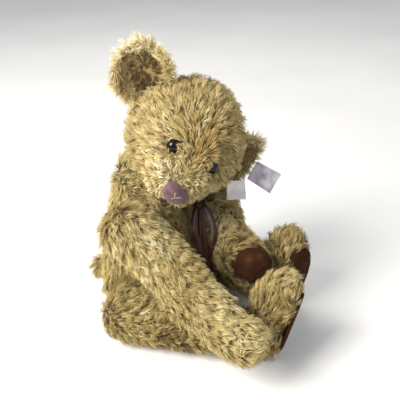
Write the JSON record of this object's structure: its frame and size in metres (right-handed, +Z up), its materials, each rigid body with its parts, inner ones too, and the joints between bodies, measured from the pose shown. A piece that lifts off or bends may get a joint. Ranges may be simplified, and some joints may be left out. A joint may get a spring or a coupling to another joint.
{
  "type": "jointed teddy bear",
  "caption": "Long-pile plush teddy bear, sitting, with a turning head, arms and legs on disc joints, suede pads and a satin neck ribbon.",
  "frame": {"origin": "middle of the flat underside the bear sits on", "axes": "+Z up, -Y the way the chest and legs point, +X to the bear's own left"},
  "size_m": [0.2278, 0.2422, 0.2938],
  "materials": {
    "plush": "long shaggy pile",
    "stuffing": "loose polyester fibre",
    "suede": "napped synthetic suede",
    "nose_suede": "napped synthetic suede",
    "satin": "satin",
    "joint_plastic": "moulded",
    "eye": "polished",
    "label_cloth": "woven satin tape",
    "thread": "twisted thread"
  },
  "bodies": {
    "torso": {"torso_skin": "plush", "torso_stuffing": "stuffing", "tail": "plush", "ribbon": "satin", "neck_washer": "joint_plastic", "right_shoulder_washer": "joint_plastic", "left_shoulder_washer": "joint_plastic", "right_hip_washer": "joint_plastic", "left_hip_washer": "joint_plastic"},
    "head": {"head_skin": "plush", "head_stuffing": "stuffing", "head_joint_stud": "joint_plastic", "head_lock_ring": "joint_plastic", "right_eye": "eye", "left_eye": "eye", "right_eye_washer": "joint_plastic", "left_eye_washer": "joint_plastic", "nose": "nose_suede", "mouth_stitch": "thread", "right_ear": "plush", "left_ear": "plush", "large_label": "label_cloth", "small_label": "label_cloth"},
    "right_arm": {"right_arm_skin": "plush", "right_arm_stuffing": "stuffing", "right_paw_pad": "suede", "right_arm_joint_stud": "joint_plastic", "right_arm_lock_ring": "joint_plastic"},
    "right_leg": {"right_leg_skin": "plush", "right_leg_stuffing": "stuffing", "right_sole_pad": "suede", "right_leg_joint_stud": "joint_plastic", "right_leg_lock_ring": "joint_plastic"},
    "left_arm": {"left_arm_skin": "plush", "left_arm_stuffing": "stuffing", "left_paw_pad": "suede", "left_arm_joint_stud": "joint_plastic", "left_arm_lock_ring": "joint_plastic"},
    "left_leg": {"left_leg_skin": "plush", "left_leg_stuffing": "stuffing", "left_sole_pad": "suede", "left_leg_joint_stud": "joint_plastic", "left_leg_lock_ring": "joint_plastic"}
  },
  "joints": [
    {"name": "neck_turn", "type": "hinge", "parent": "torso", "child": "head", "pos_m": [0, -0.015, 0.153], "axis": [0.1378, -0.5539, 0.8211], "range_deg": [-175, 105]},
    {"name": "right_shoulder", "type": "hinge", "parent": "torso", "child": "right_arm", "pos_m": [-0.046, -0.014, 0.121], "axis": [-0.9945, 0, 0.1045], "range_deg": [0, 33]},
    {"name": "left_shoulder", "type": "hinge", "parent": "torso", "child": "left_arm", "pos_m": [0.046, -0.014, 0.121], "axis": [0.9945, 0, 0.1045], "range_deg": [-11, 5]},
    {"name": "right_hip", "type": "hinge", "parent": "torso", "child": "right_leg", "pos_m": [-0.051, -0.006, 0.034], "axis": [-1, 0, 0], "range_deg": [-175, 3]},
    {"name": "left_hip", "type": "hinge", "parent": "torso", "child": "left_leg", "pos_m": [0.051, -0.006, 0.034], "axis": [1, 0, 0], "range_deg": [-2, 171]}
  ]
}
